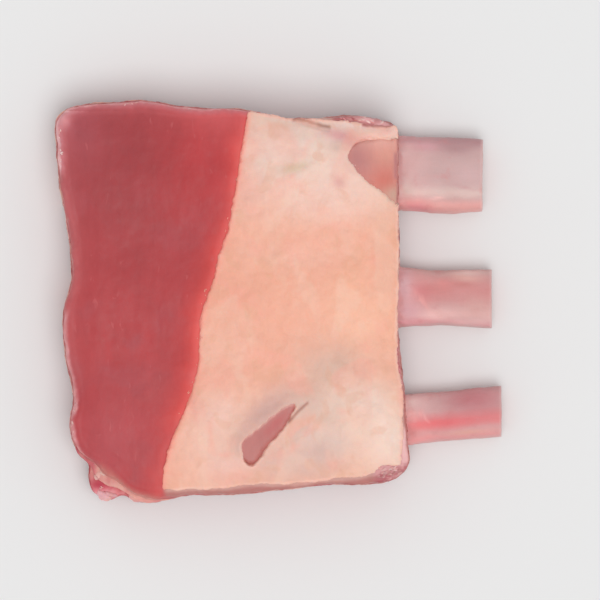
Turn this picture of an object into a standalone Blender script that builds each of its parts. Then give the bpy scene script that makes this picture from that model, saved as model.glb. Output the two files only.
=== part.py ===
"""A rack of raw beef short ribs: three bones under a thick slab of meat, lying bone side down.

X runs along the bones, towards their bare ends. Y runs across them, and Z points up from the surface
that the rack lies on. Sizes are in millimetres, and MM turns them into metres as each mesh is made.

From the bottom up the rack is three bones, the lean that holds them, a thin seam of fat, the top muscle,
and a cap of fat over the side of the bare bone ends. Each is its own closed solid.
"""

import math

import bmesh
import bpy
import numpy as np
from mathutils import Vector

MM = 0.001

# ---- The slab's outline seen from above. Each side is a smooth curve through its knots. ----
# The left and right sides are (y, x) pairs from the near corner to the far one.
SLAB_LEFT = (
    (-109.5, -100.5), (-97, -105), (-91, -104.5), (-83, -111), (-68, -115), (-55, -113),
    (-44, -114.3), (-34, -117), (-21, -118.5), (-4, -118.2), (11, -114.2), (22, -114.3), (44, -116.7),
    (62, -120.5), (84, -122.3), (97, -123), (105, -121),
)
SLAB_RIGHT = (
    (-92, 72.6), (-80, 71.3), (-60, 70), (-44, 68.7), (-30, 67), (-15, 65.5), (25, 66.5), (48, 66),
    (88, 66), (96.5, 65.8),
)
# The near and far sides are (x, y) pairs from the left corner to the right one.
SLAB_NEAR = (
    (-100.5, -109.5), (-91, -109), (-87, -107.5), (-77, -111), (-60, -109.5), (-52, -107.5),
    (-25, -107), (14, -102.7), (28, -101.3), (50, -101), (62, -99), (72.6, -92),
)
SLAB_FAR = (
    (-121, 105), (-113, 106.5), (-102, 108.8), (-87, 109.3), (-71, 109.8), (-60, 108), (-43, 106),
    (-21, 105.5), (1, 101), (22, 100.5), (37, 102), (50, 100.8), (65.8, 96.5),
)
SLAB = (SLAB_LEFT, SLAB_RIGHT, SLAB_NEAR, SLAB_FAR)

# ---- The fat cap's outline, given in the same way. Its left side is the line where bare lean begins. ----
FAT_LEFT = (
    (-104.5, -64.5), (-88, -62.2), (-75, -58), (-61, -51.8), (-35, -44.3), (-20, -43.6), (-8, -42),
    (13, -35.3), (24, -32.9), (36, -28.9), (46, -26.5), (60, -23.8), (79, -20.9), (104, -16.5),
)
FAT_RIGHT = (
    (-91, 67.5), (-60, 68), (-44, 67), (-36, 65.5), (-20, 65), (25, 66), (48, 65.5), (84, 65.5), (96, 64.9),
)
FAT_NEAR = (
    (-64.5, -104.5), (-44, -103.6), (-30, -103), (-20, -101.7), (4, -100.7), (22, -99.3), (34, -97.6),
    (48, -96.6), (54, -95), (59, -92), (67.5, -91),
)
FAT_FAR = ((-16.5, 104), (-5, 102), (5, 100), (20, 99.5), (35, 99), (48, 97), (57, 95.5), (64.9, 96))
FAT = (FAT_LEFT, FAT_RIGHT, FAT_NEAR, FAT_FAR)

# ---- Heights of the layers ----
BONE_SIDE = 0.8  # the lean's underside, a little above what the bones rest on
SEAM_LEVEL, SEAM_SWAY, SEAM_RIPPLE = 22.5, 1.9, 0.9
SEAM_THICK, SEAM_THICK_SWAY = 3.2, 0.7
CROWN = 49.0  # the fat cap's top over the middle
SLUMP, SLUMP_FROM, SLUMP_REACH = 7.0, 5.0, 125.0  # how the top falls away towards the left side
BONE_RIDGE, BONE_PITCH, BONE_RIDGE_AT = 0.8, 67.0, 69.0  # the top swells a little over each bone
CROWN_SWAY, CROWN_RIPPLE = 0.7, 0.5
EDGE_DROOP, EDGE_REACH = 3.2, 16.0
FAT_EDGE_THICK, FAT_FULL_THICK, FAT_SWELL_REACH = 1.9, 6.8, 34.0
FAT_STEP = 1.6  # the fat stands this far above the bare lean beside it
GAP = 0.3  # between one solid and the next

# ---- How far the sides of each layer are rounded, from above and from below ----
MUSCLE_ROUND_LEFT, MUSCLE_ROUND_RIGHT, MUSCLE_ROUND_BELOW = 5.0, 1.4, 0.6
MUSCLE_ROUND_FROM, MUSCLE_ROUND_REACH = -70.0, 90.0  # where along X the rounding passes from one to the other
MUSCLE_LEAN_IN = 1.6  # the sides lean in by this from bottom to top
SEAM_ROUND = 0.8
RIB_MEAT_ROUND, RIB_MEAT_ROUND_BELOW = 0.8, 2.2
FAT_ROUND, FAT_ROUND_BELOW = 1.5, 0.2

# ---- Corners in plan: how far along X and along Y each one is rounded ----
# Each layer's tuple runs near left, near right, far left, far right.
MUSCLE_CORNERS = ((46, 31), (6, 6), (7, 8), (5, 5))
SEAM_CORNERS = ((34, 24), (6, 6), (6, 7), (5, 5))
RIB_MEAT_CORNERS = ((7, 7), (7, 7), (6, 7), (5, 5))
FAT_CORNERS = ((2, 2), (4, 4), (2, 2), (3, 3))

# ---- Windows where the fat was cut through to the muscle, as (x, y) knots of closed curves ----
SLIT = (
    (-20, -83), (-18.8, -77.4), (-9, -69.6), (-0.3, -62.4), (8.5, -58), (5.3, -66), (0.3, -73.2),
    (-6, -80.3), (-12, -88.6), (-17.3, -90.6),
)
PATCH = (
    (38.8, 80), (43.5, 86.4), (50, 88.6), (57, 88.8), (64, 88.8), (72, 86), (74, 68), (72, 50),
    (65, 54), (57, 61), (49, 67), (42.6, 74),
)
WINDOW_POINTS = 32
WINDOW_SPOTS, THIN_REACH = ((-5, -75), (57, 74)), 30.0  # the fat thins this far round each of these middles
TOOL_FLOOR, TOOL_ROOF = 20.0, 70.0
BED_HEADROOM = 8.0  # the fat's bed is cut from this far above the fat

# ---- The bones: name, thickness, how far the top leans to +Y, and (x, y) knots of both edges ----
RIBS = (
    ("rib_bone_1", 16.5, 4.5,
     ((-118, 86), (0, 89), (66, 90.7), (89, 90), (100, 89.8), (112.5, 88.6)),
     ((-118, 49), (0, 48.5), (66, 49.5), (78, 49), (86, 48), (95, 47.7), (104, 48.4), (112.5, 49))),
    ("rib_bone_2", 14.8, 1.5,
     ((-113.5, 17), (0, 18), (66, 19.2), (74, 17.8), (82, 16.9), (95, 16.8), (117.5, 17.2)),
     ((-113.5, -14), (0, -14), (66, -14.8), (86, -13.8), (98, -14.1), (117.5, -15.4))),
    ("rib_bone_3", 14.2, 2.5,
     ((-107, -61), (0, -56), (66, -52.2), (80, -50.8), (100, -49.3), (122.9, -46.9)),
     ((-107, -88), (0, -84), (66, -80.8), (78, -79), (90, -77.8), (104, -76.5), (122.9, -75))),
)
BONE_SQUARENESS = 3.2  # 2 is an ellipse in section, more is squarer
BARE_FROM, BARE_LIFT = 60.0, 1.2  # the bare ends rise this far off the surface
BONE_BED_PAST = 8.0  # the bed is cut on past each end of its bone

# ---- How finely the solids are cut up ----
COLUMNS, ROWS, RINGS, SEAM_RINGS = 18, 22, 5, 3
FAT_COLUMNS, FAT_ROWS, FAT_RINGS = 14, 23, 3
CROWDING = 0.45  # 0 spreads the grid lines evenly, more draws them towards the sides
BONE_STATIONS, BONE_SIDES = 14, 16

# ---- Colours ----
LEAN_RED, DEEP_LEAN = (0.44, 0.078, 0.082), (0.36, 0.05, 0.06)
FAT_PEACH, SEAM_CREAM, BONE_PINK = (0.86, 0.50, 0.37), (0.80, 0.50, 0.42), (0.60, 0.36, 0.34)
WET_ROUGHNESS, DAMP_ROUGHNESS = 0.38, 0.5


# ---- Curves and outlines ----

def smoothstep(value):
    held = np.clip(value, 0.0, 1.0)
    return held * held * (3.0 - 2.0 * held)


def read_curve(knots, at):
    """Values at these positions of the smooth curve through the knots, which are (position, value) pairs."""
    where, value = np.array(knots, float).T
    slope = np.gradient(value, where)
    at = np.clip(at, where[0], where[-1])
    i = np.clip(np.searchsorted(where, at) - 1, 0, len(where) - 2)
    span = where[i + 1] - where[i]
    t = (at - where[i]) / span
    start = (1 + 2 * t) * (1 - t) ** 2 * value[i] + t * (1 - t) ** 2 * span * slope[i]
    end = t * t * (3 - 2 * t) * value[i + 1] + t * t * (t - 1) * span * slope[i + 1]
    return start + end


def side_points(knots, t, upright):
    """Points (x, y) at the shares t along one side of an outline. An upright side is given as (y, x)."""
    along = knots[0][0] + (knots[-1][0] - knots[0][0]) * t
    across = read_curve(knots, along)
    return np.stack((across, along) if upright else (along, across), axis=-1)


def plan_points(outline, u, v):
    """Where the unit square's points (u, v) lie inside an outline of four sides: a Coons patch."""
    left, right, near, far = outline
    u1, v1 = u[:, None], v[:, None]
    between_sides = (1 - u1) * side_points(left, v, True) + u1 * side_points(right, v, True)
    between_ends = (1 - v1) * side_points(near, u, False) + v1 * side_points(far, u, False)
    corner = {(i, j): side_points((left, right)[i], np.array([float(j)]), True) for i in (0, 1) for j in (0, 1)}
    twice = (1 - u1) * ((1 - v1) * corner[0, 0] + v1 * corner[0, 1])
    twice = twice + u1 * ((1 - v1) * corner[1, 0] + v1 * corner[1, 1])
    return between_sides + between_ends - twice


def outline_size(outline):
    """Mean width and depth of an outline, to turn millimetres into shares of the unit square."""
    left, right, near, far = (np.array(side, float)[:, 1].mean() for side in outline)
    return right - left, far - near


def round_corners(u, v, corners, width, depth):
    """Draws the unit square's points in from its corners, so that each corner becomes a quarter ellipse."""
    u, v = u.copy(), v.copy()
    for (along_x, along_y), (far_x, far_y) in zip(corners, ((0, 0), (1, 0), (0, 1), (1, 1))):
        reach_u, reach_v = along_x / width, along_y / depth
        a = 1 - (1 - u if far_x else u) / reach_u
        b = 1 - (1 - v if far_y else v) / reach_v
        inside = (a > 0) & (b > 0)
        shrink = np.maximum(a, b)[inside] / np.hypot(a, b)[inside]
        near_u, near_v = (1 - a[inside] * shrink) * reach_u, (1 - b[inside] * shrink) * reach_v
        u[inside] = 1 - near_u if far_x else near_u
        v[inside] = 1 - near_v if far_y else near_v
    return u, v


def closed_curve(knots, count, shrink):
    """Points round a smooth closed curve through the knots, each drawn in towards the middle by shrink."""
    closed = knots[-1:] + knots + knots[:2]
    where = np.arange(len(closed)) - 1.0
    turns = np.linspace(0, len(knots), count, endpoint=False)
    x, y = (read_curve(list(zip(where, [knot[i] for knot in closed])), turns) for i in (0, 1))
    points = [Vector(place) for place in zip(x, y)]
    middle = sum(points, Vector((0, 0))) / count
    return [point + (middle - point).normalized() * shrink for point in points]


# ---- Heights ----

def crown(x, y, edge):
    """Height of the rack's top, fat and lean alike. edge is the distance in from the outline."""
    slump = SLUMP * smoothstep((SLUMP_FROM - x) / SLUMP_REACH)
    droop = EDGE_DROOP * (1 - np.clip(edge / EDGE_REACH, 0, 1)) ** 2
    ridge = BONE_RIDGE * np.cos(2 * math.pi * (y - BONE_RIDGE_AT) / BONE_PITCH)
    sway = CROWN_SWAY * np.sin(x / 27.0 + y / 41.0) + CROWN_RIPPLE * np.cos(x / 19.0 - y / 33.0)
    return CROWN - slump - droop + ridge + sway


def seam_floor(x, y):
    sway = SEAM_SWAY * np.sin(x / 38.0 + 0.6) * np.cos(y / 47.0 - 0.4)
    return SEAM_LEVEL + sway + SEAM_RIPPLE * np.sin(y / 22.0 + 1.0)


def seam_roof(x, y):
    return seam_floor(x, y) + SEAM_THICK + SEAM_THICK_SWAY * np.sin(x / 25.0 + y / 31.0)


def fat_thickness(x, y):
    """The fat is thin along its left side and round its windows, and swells away from them."""
    swell = smoothstep((x - read_curve(FAT_LEFT, y)) / FAT_SWELL_REACH)
    for middle_x, middle_y in WINDOW_SPOTS:
        swell = swell * (1 - np.exp(-((x - middle_x) ** 2 + (y - middle_y) ** 2) / THIN_REACH ** 2))
    return FAT_EDGE_THICK + (FAT_FULL_THICK - FAT_EDGE_THICK) * swell


# ---- Solids ----

def finished(name, shape):
    """Turns a bmesh into an object of this name. Every face is split alike, so that gaps hold."""
    bmesh.ops.recalc_face_normals(shape, faces=shape.faces)
    bmesh.ops.triangulate(shape, faces=shape.faces, quad_method="FIXED")
    mesh = bpy.data.meshes.new(name)
    shape.to_mesh(mesh)
    shape.free()
    mesh.shade_smooth()
    made = bpy.data.objects.new(name, mesh)
    bpy.context.scene.collection.objects.link(made)
    return made


def unit_block(columns, rows, rings):
    """A block one unit each way, as a bmesh: its top and bottom are grids, and rings run round its sides."""
    shape = bmesh.new()
    bmesh.ops.create_grid(shape, x_segments=columns, y_segments=rows, size=0.5)
    bmesh.ops.translate(shape, verts=shape.verts, vec=(0.5, 0.5, 0.0))
    pulled = bmesh.ops.extrude_face_region(shape, geom=shape.faces[:], use_keep_orig=True)
    raised = [part for part in pulled["geom"] if isinstance(part, bmesh.types.BMVert)]
    bmesh.ops.translate(shape, verts=raised, vec=(0.0, 0.0, 1.0))
    upright = [e for e in shape.edges if abs(e.verts[0].co.z - e.verts[1].co.z) > 0.5]
    bmesh.ops.subdivide_edges(shape, edges=upright, cuts=rings - 1, use_grid_fill=True)
    return shape


def crowded(share):
    """Draws grid lines towards both sides, where the shape curves most."""
    return share - CROWDING * np.sin(2 * math.pi * share) / (2 * math.pi)


def side_profile(w, height, round_above, round_below):
    """(inset, height above the floor) of a layer's side at the shares w up it: a quarter round,
    a wall, and another quarter round."""
    above = np.minimum(round_above, 0.7 * height)
    below = np.minimum(round_below, 0.25 * height)
    low, high = 0.2, 0.6
    turn_in = 0.5 * math.pi * np.clip(w / low, 0, 1)
    turn_out = 0.5 * math.pi * np.clip((w - high) / (1 - high), 0, 1)
    wall = np.clip((w - low) / (high - low), 0, 1) * (height - above - below)
    inset = below * (1 - np.sin(turn_in)) + above * (1 - np.cos(turn_out))
    return inset, below * (1 - np.cos(turn_in)) + wall + above * np.sin(turn_out)


def edge_distance(u, v, width, depth, left_is_edge):
    """Distance in from the rack's edge. The fat's left side lies inside the rack, so it isn't one."""
    across = np.minimum(u, 1 - u) if left_is_edge else 1 - u
    return np.minimum(across * width, np.minimum(v, 1 - v) * depth)


def layer(name, outline, corners, floor, roof, round_above, round_below, cuts, lean_in=0.0, grow=0.0,
          left_is_edge=True):
    """One layer of the rack as an object. floor and roof are functions of (x, y, edge), and so may
    round_above be. cuts are its columns, rows and rings."""
    shape = unit_block(*cuts)
    unit = np.array([vert.co for vert in shape.verts])
    width, depth = outline_size(outline)
    u, v = round_corners(crowded(unit[:, 0]), crowded(unit[:, 1]), corners, width, depth)
    edge = edge_distance(u, v, width, depth, left_is_edge)
    x, y = plan_points(outline, u, v).T
    rounding = round_above(x, y, edge) if callable(round_above) else round_above
    height = roof(x, y, edge) - floor(x, y, edge)
    inset, above_floor = side_profile(unit[:, 2], height, rounding, round_below)
    z = floor(x, y, edge) + above_floor
    inset = inset + lean_in * unit[:, 2] - grow
    x, y = plan_points(
        outline,
        inset / width + u * (1 - 2 * inset / width),
        inset / depth + v * (1 - 2 * inset / depth),
    ).T
    for vert, place in zip(shape.verts, np.stack((x, y, z), axis=1) * MM):
        vert.co = place
    return finished(name, shape)


def make_rib_meat():
    """The lean that holds the bones, up to the seam of fat."""
    return layer(
        "rib_meat", SLAB, RIB_MEAT_CORNERS,
        floor=lambda x, y, edge: np.full_like(x, BONE_SIDE),
        roof=lambda x, y, edge: seam_floor(x, y) - GAP,
        round_above=RIB_MEAT_ROUND,
        round_below=RIB_MEAT_ROUND_BELOW,
        cuts=(COLUMNS, ROWS, RINGS),
    )


def make_seam_fat():
    """The thin seam of fat between the two layers of lean."""
    return layer(
        "seam_fat", SLAB, SEAM_CORNERS,
        floor=lambda x, y, edge: seam_floor(x, y),
        roof=lambda x, y, edge: seam_roof(x, y),
        round_above=SEAM_ROUND,
        round_below=SEAM_ROUND,
        cuts=(COLUMNS, ROWS, SEAM_RINGS),
    )


def make_top_muscle():
    """The top muscle, whose bare red face shows beside the fat cap."""
    def rounding(x, y, edge):
        across = smoothstep((x - MUSCLE_ROUND_FROM) / MUSCLE_ROUND_REACH)
        return MUSCLE_ROUND_LEFT + (MUSCLE_ROUND_RIGHT - MUSCLE_ROUND_LEFT) * across

    return layer(
        "top_muscle", SLAB, MUSCLE_CORNERS,
        floor=lambda x, y, edge: seam_roof(x, y) + GAP,
        roof=lambda x, y, edge: crown(x, y, edge) - FAT_STEP,
        round_above=rounding,
        round_below=MUSCLE_ROUND_BELOW,
        cuts=(COLUMNS, ROWS, RINGS),
        lean_in=MUSCLE_LEAN_IN,
    )


def make_fat(name, lower=0.0, raise_by=0.0, grow=0.0):
    """The fat cap, or with these allowances the bed that it lies in."""
    return layer(
        name, FAT, FAT_CORNERS,
        floor=lambda x, y, edge: crown(x, y, edge) - fat_thickness(x, y) - lower,
        roof=lambda x, y, edge: crown(x, y, edge) + raise_by,
        round_above=FAT_ROUND,
        round_below=FAT_ROUND_BELOW,
        cuts=(FAT_COLUMNS, FAT_ROWS, FAT_RINGS),
        grow=grow,
        left_is_edge=False,
    )


def half_across(width, top_lean):
    """Half the width of an upright section that is as wide as the bone once its top leans over."""
    power = BONE_SQUARENESS / (BONE_SQUARENESS - 1)
    return ((width / 2) ** power - (top_lean / 2) ** power) ** (1 / power)


def bone_section(far, near, thickness, top_lean, grow):
    """(y, z) points round a bone that reaches from near to far, with a narrow flat underneath."""
    turns = 2 * math.pi * (np.arange(BONE_SIDES) + 0.5) / BONE_SIDES
    across, up = (np.sign(f) * np.abs(f) ** (2 / BONE_SQUARENESS) for f in (np.cos(turns), np.sin(turns)))
    across, up = across / across.max(), up / up.max()
    y = (far + near) / 2 + across * (half_across(far - near, top_lean) + grow) + top_lean / 2 * up
    return zip(y, (1 + up) / 2 * thickness + grow * up)


def make_bone(name, thickness, top_lean, far_edge, near_edge, grow=0.0):
    """A rib bone as a loft of sections along X. grow makes the bed that is cut for it."""
    start, end = far_edge[0][0], far_edge[-1][0]
    stations = np.linspace(start, end, BONE_STATIONS)
    if grow:
        stations = np.concatenate(([start - BONE_BED_PAST], stations, [end + BONE_BED_PAST]))
    lifts = BARE_LIFT * smoothstep((stations - BARE_FROM) / (end - BARE_FROM))
    shape = bmesh.new()
    sections = []
    for x, far, near, lift in zip(stations, read_curve(far_edge, stations), read_curve(near_edge, stations), lifts):
        around = bone_section(far, near, thickness, top_lean, grow)
        sections.append([shape.verts.new(Vector((x, y, z + lift)) * MM) for y, z in around])
    for one, other in zip(sections, sections[1:]):
        for k in range(BONE_SIDES):
            following = (k + 1) % BONE_SIDES
            shape.faces.new((one[k], other[k], other[following], one[following]))
    shape.faces.new(sections[0])
    shape.faces.new(reversed(sections[-1]))
    return finished(name, shape)


def prism(name, points):
    """An upright prism over a closed outline, tall enough to pass through the fat."""
    shape = bmesh.new()
    base = shape.faces.new([shape.verts.new(Vector((x, y, TOOL_FLOOR)) * MM) for x, y in points])
    pulled = bmesh.ops.extrude_face_region(shape, geom=[base])
    top = [part for part in pulled["geom"] if isinstance(part, bmesh.types.BMVert)]
    bmesh.ops.translate(shape, verts=top, vec=(0, 0, (TOOL_ROOF - TOOL_FLOOR) * MM))
    return finished(name, shape)


def cut_away(target, tool):
    """Takes the tool's shape out of the target, and then removes the tool."""
    cut = target.modifiers.new("cut", "BOOLEAN")
    cut.operation, cut.solver, cut.object = "DIFFERENCE", "EXACT", tool
    bpy.context.view_layer.update()
    done = bpy.data.meshes.new_from_object(target.evaluated_get(bpy.context.evaluated_depsgraph_get()))
    target.modifiers.clear()
    target.data = done
    bpy.data.objects.remove(tool)


def open_windows(fat, shrink=0.0):
    """Cuts both windows through the fat, or through its bed with smaller tools."""
    for window in (SLIT, PATCH):
        cut_away(fat, prism("window_tool", closed_curve(window, WINDOW_POINTS, shrink)))


def paint(target, colour, roughness):
    finish = bpy.data.materials.new(target.name + "_finish")
    finish.use_nodes = True
    shader = finish.node_tree.nodes["Principled BSDF"]
    shader.inputs["Base Color"].default_value = (*colour, 1.0)
    shader.inputs["Roughness"].default_value = roughness
    shader.inputs["Metallic"].default_value = 0.0
    target.data.materials.clear()
    target.data.materials.append(finish)


def main():
    for old in list(bpy.data.objects):
        bpy.data.objects.remove(old)

    rib_meat = make_rib_meat()
    for rib in RIBS:
        paint(make_bone(*rib), BONE_PINK, DAMP_ROUGHNESS)
        cut_away(rib_meat, make_bone("bone_bed", *rib[1:], grow=GAP))
    paint(rib_meat, DEEP_LEAN, WET_ROUGHNESS)

    paint(make_seam_fat(), SEAM_CREAM, WET_ROUGHNESS)

    fat_cap = make_fat("fat_cap")
    open_windows(fat_cap)
    paint(fat_cap, FAT_PEACH, WET_ROUGHNESS)

    top_muscle = make_top_muscle()
    fat_bed = make_fat("fat_bed", lower=GAP, raise_by=BED_HEADROOM, grow=GAP)
    open_windows(fat_bed, shrink=GAP)
    cut_away(top_muscle, fat_bed)
    paint(top_muscle, LEAN_RED, WET_ROUGHNESS)


main()
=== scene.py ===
"""The looks of a rack of raw beef short ribs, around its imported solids.

X runs along the bones towards their bare ends, Y across them, and Z up. Sizes are in millimetres. Tints are
the sRGB colours, 0 to 255, that a surface shows under this light, and seen_as() turns them into albedo.
"""

import math

import bpy
import numpy as np
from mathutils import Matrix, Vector, noise
from mathutils.bvhtree import BVHTree

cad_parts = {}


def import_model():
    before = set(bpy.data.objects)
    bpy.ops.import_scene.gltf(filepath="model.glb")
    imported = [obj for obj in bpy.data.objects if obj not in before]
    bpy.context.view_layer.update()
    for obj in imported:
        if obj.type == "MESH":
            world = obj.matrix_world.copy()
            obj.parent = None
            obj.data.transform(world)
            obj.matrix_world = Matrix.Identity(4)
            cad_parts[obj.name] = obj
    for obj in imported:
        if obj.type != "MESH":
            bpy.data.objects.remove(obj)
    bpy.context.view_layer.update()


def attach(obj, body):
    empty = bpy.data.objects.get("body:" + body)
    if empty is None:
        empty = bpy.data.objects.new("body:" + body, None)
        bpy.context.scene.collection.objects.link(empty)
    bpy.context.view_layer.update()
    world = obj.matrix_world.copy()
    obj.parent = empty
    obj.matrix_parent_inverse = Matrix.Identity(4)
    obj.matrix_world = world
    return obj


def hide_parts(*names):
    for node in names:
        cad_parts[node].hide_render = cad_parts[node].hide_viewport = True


MM = 0.001

# ---- Outlines from above, as in the solids: (y, x) knots for left and right, (x, y) for near and far ----
SLAB_LEFT = (
    (-109.5, -100.5), (-97, -105), (-91, -104.5), (-83, -111), (-68, -115), (-55, -113),
    (-44, -114.3), (-34, -117), (-21, -118.5), (-4, -118.2), (11, -114.2), (22, -114.3), (44, -116.7),
    (62, -120.5), (84, -122.3), (97, -123), (105, -121),
)
SLAB_RIGHT = (
    (-92, 72.6), (-80, 71.3), (-60, 70), (-44, 68.7), (-30, 67), (-15, 65.5), (25, 66.5), (48, 66),
    (88, 66), (96.5, 65.8),
)
SLAB_NEAR = (
    (-100.5, -109.5), (-91, -109), (-87, -107.5), (-77, -111), (-60, -109.5), (-52, -107.5),
    (-25, -107), (14, -102.7), (28, -101.3), (50, -101), (62, -99), (72.6, -92),
)
SLAB_FAR = (
    (-121, 105), (-113, 106.5), (-102, 108.8), (-87, 109.3), (-71, 109.8), (-60, 108), (-43, 106),
    (-21, 105.5), (1, 101), (22, 100.5), (37, 102), (50, 100.8), (65.8, 96.5),
)
SLAB = (SLAB_LEFT, SLAB_RIGHT, SLAB_NEAR, SLAB_FAR)
FAT_LEFT = (
    (-104.5, -64.5), (-88, -62.2), (-75, -58), (-61, -51.8), (-35, -44.3), (-20, -43.6), (-8, -42),
    (13, -35.3), (24, -32.9), (36, -28.9), (46, -26.5), (60, -23.8), (79, -20.9), (104, -16.5),
)
FAT_RIGHT = (
    (-91, 67.5), (-60, 68), (-44, 67), (-36, 65.5), (-20, 65), (25, 66), (48, 65.5), (84, 65.5), (96, 64.9),
)
FAT_NEAR = (
    (-64.5, -104.5), (-44, -103.6), (-30, -103), (-20, -101.7), (4, -100.7), (22, -99.3), (34, -97.6),
    (48, -96.6), (54, -95), (59, -92), (67.5, -91),
)
FAT_FAR = ((-16.5, 104), (-5, 102), (5, 100), (20, 99.5), (35, 99), (48, 97), (57, 95.5), (64.9, 96))
FAT = (FAT_LEFT, FAT_RIGHT, FAT_NEAR, FAT_FAR)

# ---- Heights and roundings, as in the solids ----
BONE_SIDE = 0.8  # the lean's underside, a little above what the bones rest on
SEAM_LEVEL, SEAM_SWAY, SEAM_RIPPLE = 22.5, 1.9, 0.9
SEAM_THICK, SEAM_THICK_SWAY = 3.2, 0.7
CROWN, CROWN_SWAY, CROWN_RIPPLE = 49.0, 0.7, 0.5
SLUMP, SLUMP_FROM, SLUMP_TO = 7.0, 5.0, -120.0
BONE_RIDGE, BONE_PITCH, BONE_RIDGE_AT = 0.8, 67.0, 69.0
EDGE_DROOP, EDGE_REACH = 3.2, 16.0
FAT_EDGE_THICK, FAT_FULL_THICK, FAT_SWELL_REACH = 1.9, 6.8, 34.0
FAT_STEP = 1.6
MUSCLE_ROUND_LEFT, MUSCLE_ROUND_RIGHT = 5.0, 1.4
MUSCLE_ROUND_FROM, MUSCLE_ROUND_TO = -70.0, 20.0
BETWEEN_BONES = 2.4  # how far the lean's underside draws up between the bones
FAT_OVERHANG = 0.3  # past the lean on the right
LAYER_SUNK, RIB_MEAT_RAISED, FAT_SUNK = 0.2, 0.1, 1.0  # how far layers reach into what they touch

# ---- What layer() is given for each layer. cuts are the columns and rows of its top and the rings of its
# sides, and corners how far each of its corners is rounded along X and Y ----
MUSCLE = {
    "outline": SLAB, "corners": ((46, 31), (6, 6), (7, 8), (5, 5)), "cuts": (220, 250, 30),
    "round_below": 0.05, "lean_in": 1.6,
}
FAT_CAP = {
    "outline": FAT, "corners": ((2, 2), (4, 4), (2, 2), (3, 3)), "cuts": (170, 270, 10),
    "round_above": 1.5, "round_below": 0.2, "left_is_edge": False,
}
SEAM = {
    "outline": SLAB, "corners": ((34, 24), (6, 6), (6, 7), (5, 5)), "cuts": (110, 125, 8),
    "round_above": 0.6, "round_below": 0.6,
}
RIB_MEAT = {
    "outline": SLAB, "corners": ((7, 7), (7, 7), (6, 7), (5, 5)), "cuts": (125, 210, 26),
    "round_above": 0.5, "round_below": 2.6, "lean_in": 0.5, "grid_below": True,
}
BONE_STATIONS, BONE_SIDES, BONE_END_RINGS = 160, 80, 12

# ---- Windows cut through the fat ----
SLIT = (
    (-20, -83), (-18.8, -77.4), (-9, -69.6), (-0.3, -62.4), (8.5, -58), (5.3, -66), (0.3, -73.2),
    (-6, -80.3), (-12, -88.6), (-17.3, -90.6),
)
PATCH = (
    (38.8, 80), (43.5, 86.4), (50, 88.6), (57, 88.8), (64, 88.8), (72, 86), (74, 68), (72, 50),
    (65, 54), (57, 61), (49, 67), (42.6, 74),
)
WINDOW_POINTS, WINDOW_RAGGED = 64, 0.7
WINDOW_SPOTS, THIN_REACH = ((-5, -75), (57, 74)), 30.0
NEARBY, FAR_AWAY = 8.0, 99.0  # distances to a line are worked out this near to it, and are FAR_AWAY past that
WINDOW_WALL, PATCH_SLOPE, WINDOW_SUNK = 2.4, 3.5, 2.2
SLIT_WIDER = 0.6  # the lean rises into the slit from this far round it
WINDOW_STEP = 0.4  # the lean lies this far below the fat's top in the windows
PATCH_END = 61.5  # the fat left under the patch stops here, inside the lean

# ---- Folds and knife nicks in the fat: (x, y) knots, half width, depth, tint, strength of the tint ----
# Their tints darken the folds: painted shade.
CREASES = (
    (((8.5, 99.3), (13.5, 98.8), (20, 97), (23.4, 95.9), (27.6, 95.3)), 1.0, 1.2, (146, 108, 96), 0.8),
    (((47, 96.4), (51, 95.8), (56, 95.5), (61, 95.9)), 0.9, 0.5, (178, 104, 104), 0.9),
    (((6.3, 70.7), (10, 71.8), (14, 74.5)), 1.3, 0.4, (208, 184, 156), 0.4),
    (((5.8, -66.8), (10, -61.5), (15.7, -56.4)), 0.8, 0.7, (188, 136, 124), 0.8),
)
CREASE_POINTS = 16

# ---- Bones: node, thickness, lean of the top to +Y, and (x, y) knots of the far and the near edge ----
RIBS = (
    ("rib_bone_1", 16.5, 4.5,
     ((-118, 86), (0, 89), (66, 90.7), (89, 90), (100, 89.8), (112.5, 88.6)),
     ((-118, 49), (0, 48.5), (66, 49.5), (78, 49), (86, 48), (95, 47.7), (104, 48.4), (112.5, 49))),
    ("rib_bone_2", 14.8, 1.5,
     ((-113.5, 17), (0, 18), (66, 19.2), (74, 17.8), (82, 16.9), (95, 16.8), (117.5, 17.2)),
     ((-113.5, -14), (0, -14), (66, -14.8), (86, -13.8), (98, -14.1), (117.5, -15.4))),
    ("rib_bone_3", 14.2, 2.5,
     ((-107, -61), (0, -56), (66, -52.2), (80, -50.8), (100, -49.3), (122.9, -46.9)),
     ((-107, -88), (0, -84), (66, -80.8), (78, -79), (90, -77.8), (104, -76.5), (122.9, -75))),
)
BONE_SQUARENESS = 3.2
BARE_FROM, BARE_LIFT, REST_GAP = 60.0, 1.2, 0.05
BARED_TO = 2.0  # the lean's left side draws back to this far past a bone's sawn end
CORE_HOLLOW = 0.5
COLLAR_AT = {"rib_bone_1": 66.5, "rib_bone_2": 66.5, "rib_bone_3": 70.5}  # where each leaves the meat
# Painted light: BONE_LIGHTER lightens the bones' tint where the rack shades them, fading out by
# RACK_SHADE_TO.
BONE_LIGHTER, RACK_SHADE_TO = 0.10, 95.0  # the bones are this much lighter in the rack's shade

# ---- Light and camera ----
CAMERA_HEIGHT, FRAME_WIDTH, FRAME_LEVEL = 6000.0, 330.0, 28.0  # the frame is this wide at this height
FRAME_CENTRE = (11.8, 0.3)
WORLD_STRENGTH, SUN_STRENGTH, SUN_SIZE = 0.6, 1.15, 40.0
SUN_TURN = (15.0, 6.0, 0.0)
LIGHT_GAIN, SHEEN, LEAST_ALBEDO, MOST_ALBEDO = 0.95, 0.016, 0.004, 0.98


# ---- Curves and outlines ----

def rise(value, start=0.0, end=1.0):
    """Passes smoothly from 0 at start to 1 at end, and stays there past them. end may be the lower one."""
    share = np.clip((value - start) / (end - start), 0.0, 1.0)
    return share * share * (3.0 - 2.0 * share)


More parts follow.
